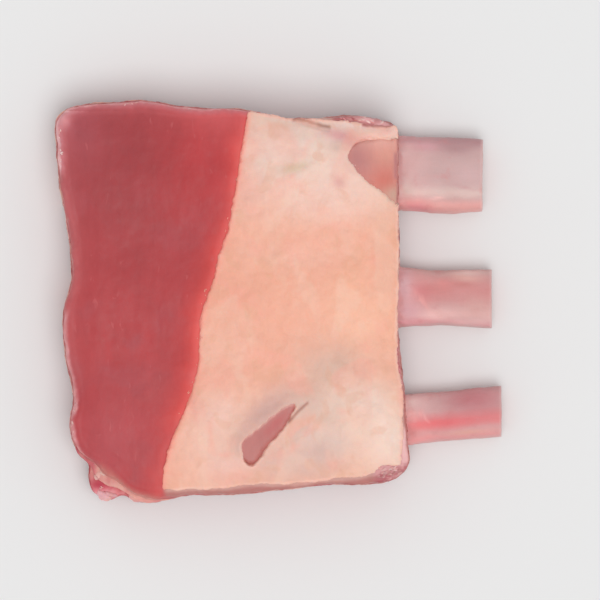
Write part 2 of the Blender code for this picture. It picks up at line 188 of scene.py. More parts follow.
def between(value, low, high, soft=3.0):
    """1 where the value lies between low and high, falling off softly past them."""
    return rise(value, low - soft / 2, low + soft / 2) * rise(value, high + soft / 2, high - soft / 2)


def stripe(value, at, half_width):
    return np.exp(-((value - at) / half_width) ** 2)


def read_curve(knots, at):
    """Values at these positions of the smooth curve through the knots, which are (position, value) pairs."""
    where, value = np.array(knots, float).T
    slope = np.gradient(value, where)
    at = np.clip(at, where[0], where[-1])
    i = np.clip(np.searchsorted(where, at) - 1, 0, len(where) - 2)
    span = where[i + 1] - where[i]
    t = (at - where[i]) / span
    start = (1 + 2 * t) * (1 - t) ** 2 * value[i] + t * (1 - t) ** 2 * span * slope[i]
    end = t * t * (3 - 2 * t) * value[i + 1] + t * t * (t - 1) * span * slope[i + 1]
    return start + end


def side_points(knots, t, upright):
    """Points (x, y) at the shares t along one side of an outline. An upright side is given as (y, x)."""
    along = knots[0][0] + (knots[-1][0] - knots[0][0]) * t
    across = read_curve(knots, along)
    return np.stack((across, along) if upright else (along, across), axis=-1)


def plan_points(outline, u, v):
    """Where the unit square's points (u, v) lie inside an outline of four sides: a Coons patch."""
    left, right, near, far = outline
    u1, v1, ends = u[:, None], v[:, None], np.array((0.0, 1.0))
    between_sides = (1 - u1) * side_points(left, v, True) + u1 * side_points(right, v, True)
    between_ends = (1 - v1) * side_points(near, u, False) + v1 * side_points(far, u, False)
    near_left, far_left = side_points(left, ends, True)
    near_right, far_right = side_points(right, ends, True)
    twice = (1 - u1) * ((1 - v1) * near_left + v1 * far_left)
    twice = twice + u1 * ((1 - v1) * near_right + v1 * far_right)
    return between_sides + between_ends - twice


def outline_size(outline):
    """Mean width and depth of an outline, to turn millimetres into shares of the unit square."""
    left, right, near, far = (np.array(side, float)[:, 1].mean() for side in outline)
    return right - left, far - near


def round_corners(u, v, corners, width, depth):
    """Draws the unit square's points in from its corners, so that each corner becomes a quarter ellipse."""
    u, v = u.copy(), v.copy()
    for (along_x, along_y), (far_x, far_y) in zip(corners, ((0, 0), (1, 0), (0, 1), (1, 1))):
        reach_u, reach_v = along_x / width, along_y / depth
        a = 1 - (1 - u if far_x else u) / reach_u
        b = 1 - (1 - v if far_y else v) / reach_v
        inside = (a > 0) & (b > 0)
        shrink = np.maximum(a, b)[inside] / np.hypot(a, b)[inside]
        near_u, near_v = (1 - a[inside] * shrink) * reach_u, (1 - b[inside] * shrink) * reach_v
        u[inside] = 1 - near_u if far_x else near_u
        v[inside] = 1 - near_v if far_y else near_v
    return u, v


def smooth_line(knots, count, closed=False):
    """Points spread along a smooth curve through the knots."""
    path = np.array(knots[-1:] + knots + knots[:2] if closed else knots, float)
    where = np.arange(len(path)) - (1.0 if closed else 0.0)
    at = np.linspace(0, len(knots) - (0 if closed else 1), count, endpoint=not closed)
    return np.stack([read_curve(np.column_stack((where, path[:, i])), at) for i in range(path.shape[1])], 1)


def distance_to(line, x, y, closed=False):
    """Distance of the points (x, y) to a line, negative inside it if it is closed."""
    found = np.full(len(x), FAR_AWAY)
    low, high = line.min(0) - NEARBY, line.max(0) + NEARBY
    near = (x > low[0]) & (x < high[0]) & (y > low[1]) & (y < high[1])
    px, py = x[near], y[near]
    start, end = (line, np.roll(line, -1, axis=0)) if closed else (line[:-1], line[1:])
    side = end - start
    offset = np.stack((px, py), -1)[:, None, :] - start
    share = np.clip((offset * side).sum(-1) / (side * side).sum(-1), 0, 1)
    nearest = np.linalg.norm(offset - share[..., None] * side, axis=-1).min(1)
    if closed:
        spans = (start[:, 1] > py[:, None]) != (end[:, 1] > py[:, None])
        rises = np.where(side[:, 1] == 0, 1, side[:, 1])
        crossing = px[:, None] < start[:, 0] + side[:, 0] * (py[:, None] - start[:, 1]) / rises
        nearest = np.where((spans & crossing).sum(1) % 2 == 1, -nearest, nearest)
    found[near] = nearest
    return found


def window_distances(x, y):
    """Distance to the slit and to the patch, negative inside each. Their edges are a little ragged."""
    ragged = WINDOW_RAGGED * fractal(np.stack((x, y, 0 * x), 1), 3.2, seed=17.0)
    rims = (smooth_line(window, WINDOW_POINTS, True) for window in (SLIT, PATCH))
    return [distance_to(rim, x, y, True) + ragged for rim in rims]


def window_cut(x, y):
    """How deep the windows are cut, from 0 to 1. The far and right sides of the patch slope gently."""
    slit, patch = window_distances(x, y)
    slope = WINDOW_WALL * (1 + PATCH_SLOPE * rise(x + y, 122, 138))
    return rise(np.minimum(slit / WINDOW_WALL, patch / slope), 0.45, -0.55)


def creases(x, y):
    """Each crease's share of its full depth at the points, that depth, its tint, and the tint's strength."""
    for knots, half_width, *rest in CREASES:
        yield stripe(distance_to(smooth_line(knots, CREASE_POINTS), x, y), 0.0, half_width), *rest


# ---- Heights, as in the solids ----

def crown(x, y, edge):
    """Height of the rack's top, fat and lean alike. edge is the distance in from the outline."""
    slump = SLUMP * rise(x, SLUMP_FROM, SLUMP_TO)
    droop = EDGE_DROOP * (1 - np.clip(edge / EDGE_REACH, 0, 1)) ** 2
    ridge = BONE_RIDGE * np.cos(2 * math.pi * (y - BONE_RIDGE_AT) / BONE_PITCH)
    sway = CROWN_SWAY * np.sin(x / 27.0 + y / 41.0) + CROWN_RIPPLE * np.cos(x / 19.0 - y / 33.0)
    return CROWN - slump - droop + ridge + sway


def seam_floor(x, y):
    sway = SEAM_SWAY * np.sin(x / 38.0 + 0.6) * np.cos(y / 47.0 - 0.4)
    return SEAM_LEVEL + sway + SEAM_RIPPLE * np.sin(y / 22.0 + 1.0)


def seam_roof(x, y):
    return seam_floor(x, y) + SEAM_THICK + SEAM_THICK_SWAY * np.sin(x / 25.0 + y / 31.0)


def fat_thickness(x, y):
    """The fat is thin along its left side and round its windows, and swells away from them."""
    swell = rise(x - read_curve(FAT_LEFT, y), 0, FAT_SWELL_REACH)
    for middle_x, middle_y in WINDOW_SPOTS:
        swell = swell * (1 - np.exp(-((x - middle_x) ** 2 + (y - middle_y) ** 2) / THIN_REACH ** 2))
    return FAT_EDGE_THICK + (FAT_FULL_THICK - FAT_EDGE_THICK) * swell


def depth_under_fat(x, y):
    """Distance in from the fat's outline, negative outside it."""
    across = np.minimum(x - read_curve(FAT_LEFT, y), read_curve(FAT_RIGHT, y) - x)
    along = np.minimum(y - read_curve(FAT_NEAR, x), read_curve(FAT_FAR, x) - y)
    return np.minimum(across, along)


def lean_top(x, y, edge):
    """Height of the top muscle, bare or under the fat. In the windows it rises almost to the fat's top."""
    covered = rise(depth_under_fat(x, y) + 0.8 * rise(x, 55, 60), 0, 1.5)
    depth = FAT_STEP + (fat_thickness(x, y) - FAT_STEP) * covered
    slit, patch = window_distances(x, y)
    bared = rise(np.minimum(slit - SLIT_WIDER, patch), WINDOW_WALL, 0)
    return crown(x, y, edge) - depth * (1 - bared) - WINDOW_STEP * bared


# ---- Meshes ----

def block(columns, rows, rings, grid_below):
    """A unit block's points (u, v, w) and faces. Its top is a grid, rings run round its sides, and its
    underside is another grid, or one face where it never shows."""
    u, v = np.meshgrid(np.linspace(0, 1, columns + 1), np.linspace(0, 1, rows + 1))
    flat = np.stack((u.ravel(), v.ravel()), 1)
    index = np.arange(len(flat)).reshape(rows + 1, columns + 1)
    loop = np.concatenate((index[0, :-1], index[:-1, -1], index[-1, :0:-1], index[:0:-1, 0]))
    quads = np.stack((index[:-1, :-1], index[:-1, 1:], index[1:, 1:], index[1:, :-1]), -1).reshape(-1, 4)
    points, faces = [np.column_stack((flat, np.ones(len(flat))))], quads.tolist()
    above, count = loop, len(flat)
    for ring in range(1, rings + 1):
        if ring == rings and grid_below:
            points.append(np.column_stack((flat, np.zeros(len(flat)))))
            below = loop + count
            faces += (quads[:, ::-1] + count).tolist()
        else:
            points.append(np.column_stack((flat[loop], np.full(len(loop), 1 - ring / rings))))
            below = np.arange(len(loop)) + count
        count += len(points[-1])
        faces += np.stack((above, below, np.roll(below, -1), np.roll(above, -1)), -1).tolist()
        above = below
    if not grid_below:
        faces.append(below[::-1].tolist())
    return np.concatenate(points), faces


def tube_faces(rings, sides):
    """Faces of a tube of rings of points, closed at both ends."""
    index = np.arange(rings * sides).reshape(rings, sides)
    following = np.roll(index, -1, axis=1)
    faces = np.stack((index[:-1], following[:-1], following[1:], index[1:]), -1).reshape(-1, 4).tolist()
    return [*faces, index[0][::-1].tolist(), index[-1].tolist()]


def side_profile(w, height, round_above, round_below):
    """(inset, height above the floor) of a layer's side at the shares w up it."""
    above = np.minimum(round_above, 0.7 * height)
    below = np.minimum(round_below, 0.25 * height)
    low, high = 0.2, 0.6  # the wall's shares of w
    turn_in = 0.5 * math.pi * np.clip(w / low, 0, 1)
    turn_out = 0.5 * math.pi * np.clip((w - high) / (1 - high), 0, 1)
    wall = np.clip((w - low) / (high - low), 0, 1) * (height - above - below)
    inset = below * (1 - np.sin(turn_in)) + above * (1 - np.cos(turn_out))
    return inset, below * (1 - np.cos(turn_in)) + wall + above * np.sin(turn_out)


def layer(outline, corners, cuts, floor, roof, round_above, round_below, grid_below=False, lean_in=0.0,
          left_is_edge=True):
    """One layer's points and faces, and for each point its distance in from the outline and its share up
    the side. floor and roof are functions of (x, y, edge), and round_above is a number or one for each x."""
    unit, faces = block(*cuts, grid_below)
    width, depth = outline_size(outline)
    u, v = round_corners(unit[:, 0], unit[:, 1], corners, width, depth)
    rim = np.minimum(np.minimum(u, 1 - u) * width, np.minimum(v, 1 - v) * depth)
    edge = rim if left_is_edge else np.minimum((1 - u) * width, np.minimum(v, 1 - v) * depth)
    x, y = plan_points(outline, u, v).T
    low, high = floor(x, y, edge), roof(x, y, edge)
    rounding = round_above(x) if callable(round_above) else round_above
    inset, above_floor = side_profile(unit[:, 2], high - low, rounding, round_below)
    inset = inset + lean_in * unit[:, 2]
    u_inset, v_inset = inset / width, inset / depth
    x, y = plan_points(outline, u_inset + u * (1 - 2 * u_inset), v_inset + v * (1 - 2 * v_inset)).T
    return np.stack((x, y, low + above_floor), 1), faces, rim + inset, unit[:, 2]


def joined(pieces):
    """The points and faces of several pieces as one."""
    all_points, all_faces, count = [], [], 0
    for points, faces in pieces:
        all_faces += [[corner + count for corner in face] for face in faces]
        all_points.append(points)
        count += len(points)
    return np.concatenate(all_points), all_faces


def fractal(points, size, octaves=3, seed=0.0, squeeze=(1, 1, 1)):
    """Smooth noise of about -1 to 1 at the points, with features of this size, squeezed along each axis."""
    scaled = (points * np.array(squeeze) / size + seed).tolist()
    return np.array([noise.fractal(place, 1.0, 2.1, octaves) for place in scaled])


def normals_of(points, faces):
    mesh = bpy.data.meshes.new("measure")
    mesh.from_pydata(points.tolist(), [], faces)
    found = np.zeros(len(points) * 3, np.float32)
    mesh.vertex_normals.foreach_get("vector", found)
    bpy.data.meshes.remove(mesh)
    return found.reshape(-1, 3)


def roughen(points, faces, *reliefs):
    """Moves the points along their normals by noise. Each relief is the noise's size and its depth, which
    may differ by point."""
    normals = normals_of(points, faces)
    moved = points.copy()
    for size, depth in reliefs:
        moved += normals * (fractal(points, size) * depth)[:, None]
    return moved


def paint(tint, *coats):
    """Lays coats over a tint, each another tint and its weight for each point."""
    tint = np.asarray(tint, float)
    for colour, weight in coats:
        weight = np.clip(weight, 0, 1)[:, None]
        tint = tint * (1 - weight) + np.asarray(colour, float) * weight
    return tint


def spot(x, y, centre, reach, turn=0.0):
    """A soft round or oval spot's weight, 1 at its centre. turn is its slope in degrees."""
    c, s = math.cos(math.radians(turn)), math.sin(math.radians(turn))
    dx, dy = x - centre[0], y - centre[1]
    along, across = dx * c + dy * s, dy * c - dx * s
    return np.exp(-((along / reach[0]) ** 2) - (across / reach[1]) ** 2)


def dab(tint, x, y, marks):
    """Paints soft marks. Each is a centre, reach, tint and strength, and a slope if it has one."""
    for centre, reach, colour, strength, *turn in marks:
        tint = paint(tint, (colour, strength * spot(x, y, centre, reach, *turn)))
    return tint


def seen_as(tint):
    """Albedo that looks like this sRGB tint under this scene's light."""
    share = np.clip(np.asarray(tint, float) / 255.0, 0, 1)
    linear = np.where(share <= 0.04045, share / 12.92, ((share + 0.055) / 1.055) ** 2.4)
    return np.clip((linear - SHEEN) / LIGHT_GAIN, LEAST_ALBEDO, MOST_ALBEDO)


def add_object(name, data):
    made = bpy.data.objects.new(name, data)
    bpy.context.scene.collection.objects.link(made)
    return made


def add_piece(name, points, faces, tint, cut, material, slot, *nodes, frayed=0.0):
    """A piece of the rack from points in millimetres. cut is how far each point lies on a knife-cut face,
    and frayed how roughly it was trimmed."""
    mesh = bpy.data.meshes.new(name)
    mesh.from_pydata((points * MM).tolist(), [], faces)
    mesh.shade_smooth()
    colours = np.column_stack((seen_as(tint), np.ones(len(points)))).astype(np.float32)
    mesh.attributes.new("tint", "FLOAT_COLOR", "POINT").data.foreach_set("color", colours.ravel())
    for key, value in (("cut", cut), ("frayed", frayed)):
        shares = np.full(len(points), value, np.float32)
        mesh.attributes.new(key, "FLOAT", "POINT").data.foreach_set("value", shares)
    mesh.materials.append(material)
    piece = add_object(name, mesh)
    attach(piece, "root")
    if nodes:
        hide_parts(*nodes)
    return points, faces


# ---- Materials ----

class Nodes:
    """Short calls for building a material's nodes."""

    def __init__(self, name):
        self.material = bpy.data.materials.new(name)
        self.material.use_nodes = True
        self.tree = self.material.node_tree
        self.place = self.tree.nodes.new("ShaderNodeTexCoord").outputs["Object"]

    def connect(self, node, inputs):
        """Links a node's inputs to other nodes, or sets them to constants."""
        for key, value in inputs.items():
            if isinstance(value, bpy.types.NodeSocket):
                self.tree.links.new(value, node.inputs[key])
            else:
                node.inputs[key].default_value = value

    def node(self, kind, inputs, **settings):
        made = self.tree.nodes.new(kind)
        for key, value in settings.items():
            setattr(made, key, value)
        self.connect(made, inputs)
        return made

    def noise(self, size, detail=3.0, distortion=0.0, scale=(1, 1, 1)):
        """Noise from 0 to 1 with features of this size in millimetres, squeezed by scale along each axis."""
        place = self.node("ShaderNodeVectorMath", {0: self.place, 1: scale}, operation="MULTIPLY").outputs[0]
        inputs = {"Vector": place, "Scale": 1 / (size * MM), "Detail": detail, "Distortion": distortion}
        return self.node("ShaderNodeTexNoise", inputs).outputs["Fac"]

    def cells(self, size, feature):
        """Distance from the middle of the nearest cell. The cells have this size in millimetres."""
        inputs = {"Vector": self.place, "Scale": 1 / (size * MM)}
        return self.node("ShaderNodeTexVoronoi", inputs, feature=feature).outputs["Distance"]

    def math(self, operation, *values):
        return self.node("ShaderNodeMath", dict(enumerate(values)), operation=operation).outputs[0]

    def times(self, product, *others):
        for other in others:
            product = self.math("MULTIPLY", product, other)
        return product

    def total(self, start, *terms):
        """Adds terms to a start value, each a value and its factor."""
        for value, factor in terms:
            start = self.math("MULTIPLY_ADD", value, factor, start)
        return start

    def ramp(self, value, low, high, at_low=0.0, at_high=1.0):
        """Passes smoothly from at_low to at_high as value goes from low to high."""
        inputs = {"Value": value, "From Min": low, "From Max": high, "To Min": at_low, "To Max": at_high}
        return self.node("ShaderNodeMapRange", inputs, interpolation_type="SMOOTHSTEP").outputs["Result"]

    def attribute(self, name, output="Fac"):
        return self.node("ShaderNodeAttribute", {}, attribute_name=name).outputs[output]

    def varied(self, *noises):
        """The piece's tint, lighter and darker by noises. Each is a noise from 0 to 1 and its depth."""
        shade = self.total(1 - 0.5 * sum(depth for _, depth in noises), *noises)
        inputs = {0: self.attribute("tint", "Color"), "Scale": shade}
        return self.node("ShaderNodeVectorMath", inputs, operation="SCALE").outputs[0]

    def mix(self, colour, tint, *weights):
        """Mixes a tint into the colour by the product of the weights."""
        inputs = {"Factor": self.times(*weights), "A": colour, "B": (*seen_as(tint), 1.0)}
        return self.node("ShaderNodeMix", inputs, data_type="RGBA").outputs["Result"]

    def finish(self, colour, relief, relief_depth, roughness, scatter, radius, coat):
        """Sets the shader. relief is a height from 0 to 1, relief_depth its size in millimetres."""
        bump = self.node("ShaderNodeBump", {"Height": relief, "Distance": relief_depth * MM})
        self.connect(self.tree.nodes["Principled BSDF"], {
            "Base Color": colour, "Normal": bump.outputs["Normal"], "Roughness": roughness,
            "Subsurface Weight": scatter, "Subsurface Radius": radius, "Subsurface Scale": 1.0,
            "Specular IOR Level": 0.3, "Coat Weight": coat, "Coat Roughness": 0.3,
        })
        return self.material


def lean_material():
    """Moist red muscle: soft mottling, faint pale flecks along the grain, marbling on cut faces, and torn
    fat and flesh where it was trimmed."""
    n = Nodes("lean")
    cut, frayed = n.attribute("cut"), n.attribute("frayed")
    broad, middle, fine = n.noise(16, 2), n.noise(5, 3), n.noise(1.3, 3, scale=(1, 0.4, 1))
    streaks = n.noise(4, 2, 0.3, scale=(1, 0.15, 1))
    colour = n.varied((broad, 0.18), (middle, 0.10), (streaks, 0.12), (fine, 0.06))
    flecks = n.ramp(n.noise(5.5, 2, 0.6, scale=(1.5, 0.55, 1)), 0.66, 0.78)
    colour = n.mix(colour, (205, 110, 112), flecks, 0.35)
    vein = n.math("ABSOLUTE", n.math("SUBTRACT", n.noise(12, 3, 0.35, scale=(0.42, 0.42, 2.0)), 0.5))
    vein = n.times(n.ramp(vein, 0.004, 0.02, 1.0, 0.0), n.ramp(n.noise(15, 2), 0.46, 0.6))
    specks = n.ramp(n.noise(4.5, 4, 0.4, scale=(0.32, 0.32, 1.5)), 0.6, 0.66)
    marbling = n.math("MAXIMUM", vein, n.times(specks, 0.8))
    colour = n.mix(colour, (232, 176, 164), marbling, cut, 0.6)
    dark = n.ramp(n.noise(5.0, 2, 0.4, scale=(0.4, 1, 1)), 0.48, 0.66)
    torn = n.noise(4.5, 3, 0.5, scale=(0.45, 1, 1))
    colour = n.mix(colour, (176, 84, 92), dark, frayed, 0.45)
    colour = n.mix(colour, (240, 186, 186), n.ramp(torn, 0.5, 0.68), frayed, 0.6)
    grain = n.noise(0.9, 2, scale=(1, 1, 0.35))
    relief = n.total(0.0, (middle, 0.5), (grain, 0.2), (fine, 0.25), (n.times(torn, frayed), 1.6))
    roughness = n.ramp(middle, 0.3, 0.7, 0.46, 0.6)
    return n.finish(colour, relief, 0.2, roughness, 0.12, (0.0020, 0.0007, 0.0005), 0.04)


FAT_BLOTCHES = (  # size, distortion, squeeze, noise where it starts and where it is full, tint, strength
    (27, 0.9, (1, 1, 1), 0.5, 0.66, (247, 172, 154), 0.36),
    (17, 0.7, (1, 0.55, 1), 0.5, 0.64, (246, 206, 186), 0.28),
    (12, 0.6, (1, 0.8, 1), 0.57, 0.68, (230, 174, 146), 0.32),
)


def fat_material(name, mottle):
    """Soft raw fat: peach and cream mottling, faint lobules and small pink stains."""
    n = Nodes(name)
    broad, middle, fine = n.noise(13, 3, 0.4), n.noise(4.5, 3), n.noise(1.1, 3)
    colour = n.varied((broad, 0.14 * mottle), (middle, 0.12 * mottle), (fine, 0.05 * mottle))
    for size, distortion, squeeze, low, high, tint, strength in FAT_BLOTCHES:
        blotch = n.ramp(n.noise(size, 2, distortion, squeeze), low, high)
        colour = n.mix(colour, tint, blotch, strength * mottle)
    relief = n.total(0.0, (middle, 0.7), (fine, 0.15), (n.cells(3.2, "SMOOTH_F1"), -0.12))
    roughness = n.ramp(middle, 0.3, 0.7, 0.4, 0.55)
    return n.finish(colour, relief, 0.4, roughness, 0.2, (0.0030, 0.0016, 0.0010), 0.06)


def bone_material():
    """Scraped rib bone: pale and pink streaks along the bone under a thin wet film, and a spongy core."""
    n = Nodes("bone")
    streaks, fine = n.noise(4.0, 3, 0.4, scale=(0.22, 1, 1)), n.noise(0.8, 3)
    colour = n.varied((streaks, 0.16), (fine, 0.08))
    colour = n.mix(colour, (210, 138, 138), n.ramp(n.noise(7, 3), 0.56, 0.78), 0.35)
    holes = n.times(n.ramp(n.cells(1.5, "F1"), 0.12, 0.42, 1.0, 0.0), n.attribute("cut"))
    colour = n.mix(colour, (118, 42, 42), holes, 0.75)
    relief = n.total(0.0, (streaks, 0.5), (fine, 0.2), (holes, -1.2))
    roughness = n.ramp(streaks, 0.3, 0.7, 0.36, 0.5)
    return n.finish(colour, relief, 0.4, roughness, 0.12, (0.0022, 0.0010, 0.0008), 0.1)


# ---- The layers ----

SEAM_TINT = (232, 182, 167)
SCRAP_TINTS = ((182, 112, 112), (206, 120, 126), (192, 124, 128))
BARE_MARKS = (  # centre, reach, tint, strength
    ((-80, 90), (70, 75), (166, 72, 76), 0.95), ((-112, 96), (16, 24), (170, 84, 91), 0.9),
    ((-76, -94), (14, 10), (204, 76, 74), 0.6), ((-70, -46), (14, 13), (192, 94, 96), 0.6),
    ((-92, -80), (24, 32), (186, 87, 92), 0.9),
)
PATCH_MARKS = (
    ((44, 78), (9, 12), (198, 134, 131), 1.0), ((60, 80), (9, 8), (222, 156, 142), 1.0),
    ((58, 65), (8, 8), (213, 126, 114), 1.0), ((63.5, 58), (7, 5), (208, 164, 148), 1.0),
    ((56, 90), (16, 6), (234, 178, 166), 0.95),
)
FAT_MARKS = (  # centre, reach, tint, strength, and slope where there is one
    ((26, 58), (30, 17), (247, 206, 192), 0.8), ((-17, 66), (9, 15), (238, 178, 162), 0.8, 10),
    ((6, 80), (28, 12), (240, 214, 202), 0.8), ((30, 76), (9, 8), (240, 211, 200), 0.8),
    ((-16, 30), (7, 12), (248, 190, 168), 0.7, -10), ((12, 24), (22, 7), (247, 194, 176), 0.6),
    ((58, 41), (6, 9), (242, 194, 172), 0.7), ((38, 3), (8, 13), (246, 182, 154), 0.8),
    ((-25, -12), (9, 17), (238, 168, 144), 0.8, -15), ((46, -12), (22, 20), (250, 191, 164), 0.8),
    ((30, -38), (20, 15), (220, 180, 163), 1.0), ((-30, -36), (16, 14), (244, 175, 154), 0.7),
    ((-36, -72), (26, 30), (243, 199, 182), 0.9), ((38, -62), (24, 18), (236, 207, 191), 1.0),
    ((14, -58), (18, 10), (220, 188, 175), 0.9), ((10, -88), (30, 14), (222, 184, 172), 1.0),
    ((16, -73), (13, 7), (226, 192, 180), 0.9, 20), ((29, -78), (13, 8), (228, 198, 186), 0.9),
    ((-28, -91), (11, 6), (238, 194, 182), 0.8), ((-31, -62), (8, 9), (244, 200, 186), 0.8),
    ((-45, -60), (4, 8), (240, 172, 158), 0.8, 25), ((46, -54), (12, 8), (234, 208, 195), 0.8),
    ((60, -76), (16, 24), (245, 216, 203), 1.0), ((-8, -62), (20, 8), (212, 170, 160), 1.0, 42),
    ((-24, -100), (16, 7), (238, 180, 164), 0.8), ((-20.5, -78), (4.5, 7), (208, 168, 156), 0.85),
    ((24, -82), (7, 5), (212, 178, 168), 0.8), ((35.5, 90), (11, 3.4), (226, 166, 166), 0.9, -14),
    ((32, 84), (4, 3), (206, 176, 168), 0.8), ((40, 84), (5, 3), (222, 178, 172), 0.7),
    ((54, 88), (9, 5), (232, 178, 166), 1.0), ((45, 96), (20, 2.5), (250, 214, 206), 0.9, -10),
    ((57, 93), (7, 4), (244, 190, 178), 0.9), ((8, 73), (7, 2.5), (220, 186, 160), 0.8, 14),
    ((33, 64.5), (4, 3), (232, 176, 166), 0.9, -30),
)
# The bare face's tints beside the fat, by X from the fat's side
FAT_SIDE_STOPS = (-16.0, -12.0, -9.0, -6.5, -4.5, -3.0, -1.8, -0.8)
FAT_SIDE_TINTS = (
    (184, 75, 77), (190, 75, 76), (196, 76, 76), (203, 78, 76), (212, 82, 79), (221, 90, 86), (226, 97, 92),
    (229, 104, 98),
)


def scrap_zones(x, y):
    """Where the rack's rim was trimmed roughly: far right, the right side, and the near right corner."""
    far = between(x, 30, 64) * rise(y, 92, 96)
    right = between(y, -53, -21) * rise(x, 63, 65)
    corner = rise(x, 50, 56) * rise(y, -84, -88)
    return far, right, corner


def bare_tint(x, y, rim, wobble, coarse):
    """The bare face: darker far left, paler near left, redder beside the fat, and pinker towards its far and
    left rims: painted light against their rounding's shade.
    """
    tint = paint(dab((186, 76, 79), x, y, BARE_MARKS), ((176, 84, 90), 0.5 * rise(1.8 * coarse - 0.1)))
    to_fat = x - read_curve(FAT_LEFT, y) + 1.2 * wobble
    redder = np.stack([np.interp(to_fat, FAT_SIDE_STOPS, channel) for channel in zip(*FAT_SIDE_TINTS)], 1)
    strength = (1 - 0.6 * rise(y, -62, -76)) * (1 + 0.35 * spot(x, y, (-26, 80), (40, 25)))
    tint = tint + (redder - FAT_SIDE_TINTS[0]) * strength[:, None]
    left = rise(x, -80, -95) * between(y, -46, 90, 16)
    return paint(
        tint,
        ((194, 68, 71), 0.7 * spot(x, y, (-42, 74), (22, 36))),
        # Painted light: the far rim made pinker against the shade of its rounding.
        ((222, 126, 130), 0.75 * np.exp(-rim / 5.0) * rise(y, 70, 94)),
        ((216, 100, 102), 0.75 * spot(x, y, (-32, 104), (22, 16))),
        # Painted light: the left rim made pinker against the shade of its rounding.
        ((204, 116, 118), 0.8 * np.exp(-rim / 6.0) * left),
    )


def rim_tint(tint, x, y, w, ragged, broken):
    """Films of fat and silverskin over the bare face's far and left rims, down to the middle of its wall,
    with painted light: a paler band and a highlight line along the far rim, and highlights on the far-left
    corner.
    """
    upper = rise(w, 0.25, 0.65)
    # film breaks up the real films of fat and silverskin, and also the painted highlights below.
    film = upper * (0.2 + 1.1 * broken)
    far = rise(y, 84, 92) * upper
    left = rise(x, -84, -94) * (y < 104) * upper
    corner = between(y + 6 * (broken - 0.55), 72, 112, 9)
    return paint(
        tint,
        # Painted light: a paler band along the far rim against its rounding's shade, then a painted highlight
        # line at its edge.
        ((214, 130, 136), far * rise(ragged, 4.6, 1.6) * 0.6),
        ((238, 166, 168), far * rise(ragged, 2.0, 0.6) * film * 0.9),
        ((206, 120, 122), left * stripe(ragged, 3.4, 1.2) * between(y, -12, 74) * broken * 0.5),
        # Painted highlights: these two coats light the far-left corner's rim where light catches it.
        ((216, 140, 146), left * rise(ragged, 6.0, 2.0) * between(y, 70, 108, 8) * 0.85),
        ((250, 200, 202), left * rise(ragged, 2.8, 1.6) * corner * film),
        ((228, 156, 158), left * rise(ragged, 4.0, 1.6) * between(y, -90, -7, 10) * film),
        # Painted highlight: a pale spot at the far-left corner.
        ((232, 164, 168), spot(x, y, (-118, 100), (4, 6)) * 0.8),
    )


def beyond_tint(tint, x, y, rim, beyond, wobble, fine):
    """The flesh that shows past the fat's outline, with pale shreds and scraps at its rims, and painted shade
    along the near right corner's rim.
    """
    under = depth_under_fat(x, y)
    to_rim = beyond * rise(x, 50, 55) * rise(y, -70, -78)
    return paint(
        tint,
        ((186, 126, 120), beyond * 0.95),
        ((212, 164, 154), beyond * rise(under + 0.8 * wobble, -2.2, 0) * 0.9),
        *((flesh, zone * beyond * 0.95) for zone, flesh in zip(scrap_zones(x, y), SCRAP_TINTS)),
        ((234, 172, 172), beyond * spot(x, y, (47, 99.2), (8, 1.7), -9)),
        ((222, 164, 164), to_rim * rise(under + 0.8 * fine, -1.8, -0.4) * 0.9),
        # Painted shade: the near right corner's rim darkened as if in shadow.
        ((168, 96, 98), to_rim * rise(rim, 2.6, 1.0) * 0.8),
        ((240, 192, 190), beyond * rise(x, 67, 68.5) * between(y, -90, -70, 5) * 0.9),
    )


def window_tint(tint, x, y):
    """What the fat's windows bare: dull pink lean under a film, rosier at its far side, with painted light:
    paler lean round the slit and a painted shadow beside the patch.
    """
    slit, patch = window_distances(x, y)
    in_slit = paint(
        (196, 128, 123),
        ((198, 114, 112), spot(x, y, (-2, -68), (9, 3), 45)),
        # Painted light: the lean round the slit's edge made paler against the shade of the valley there.
        ((218, 162, 152), between(slit, 0.1, 2, 0.6) * 0.8),
    )
    in_patch = dab((212, 144, 134), x, y, PATCH_MARKS)
    # Painted shadow: a duller band along the patch's right side.
    in_patch = paint(in_patch, ((188, 126, 126), rise(x, 62.5, 64) * between(y, 67, 81) * 0.8))
    return paint(tint, (in_slit, slit < 3), (in_patch, patch < 4))


def lean_tint(points, rim, w):
    """Tints of the top muscle: its bare face, its rims, its walls, and what the fat's windows show."""
    x, y = points.T[:2]
    noises = ((14, 7.0), (26, 19.0), (3, 23.0))
    wobble, coarse, fine = (fractal(points, size, seed=seed) for size, seed in noises)
    broken = 0.55 + 0.6 * fractal(points, 7, seed=14.0)
    meat = paint((164, 60, 65), ((184, 80, 82), 0.5 + 0.6 * wobble))
    tint = paint(bare_tint(x, y, rim, wobble, coarse), (meat, rise(w - 0.2 * wobble, 0.6, 0.25) * 0.9))
    tint = rim_tint(tint, x, y, w, rim + 0.7 * coarse + 0.5 * wobble + 0.5 * fine, broken)

    beyond = rise(x - read_curve(FAT_LEFT, y), 0, 4 + 20 * rise(w, 0.75, 0.5))
    beyond = beyond * rise(depth_under_fat(x, y), 4, 2) * rise(w + 0.12 * wobble, 0.3, 0.6)
    tint = beyond_tint(tint, x, y, rim, beyond, wobble, fine)

    below_patch = between(w + 0.1 * wobble, 0.4, 0.6, 0.2) * between(y, 54, 84, 16) * rise(x, 62, 64)
    corner = between(x, -108, -66, 12) * rise(y, -84, -90) * np.clip((0.9 - w) * 5, 0, 1)
    return paint(
        tint,
        (window_tint(tint, x, y), rise(w + 0.12 * wobble, 0.4, 0.65)),
        ((202, 126, 118), corner * rise(x, -101, -96) * 0.9),
        ((216, 152, 142), corner * rise(w, 0.5, 0.25) * 0.9),
        # Painted light: the right wall beside the bones made paler against its shade.
        ((200, 128, 122), rise(x, 60, 64) * between(w, 0.25, 0.7, 0.2) * 0.7),
        ((214, 152, 148), below_patch * 0.7),
        # The seam's tint over the muscle's foot; where it reaches higher at the near-left corner it is
        # painted light over the crevice's shade.
        (SEAM_TINT, rise(w - 0.09 * fine - 0.08 * corner, 0.05, 0.01) * 0.9),
    )


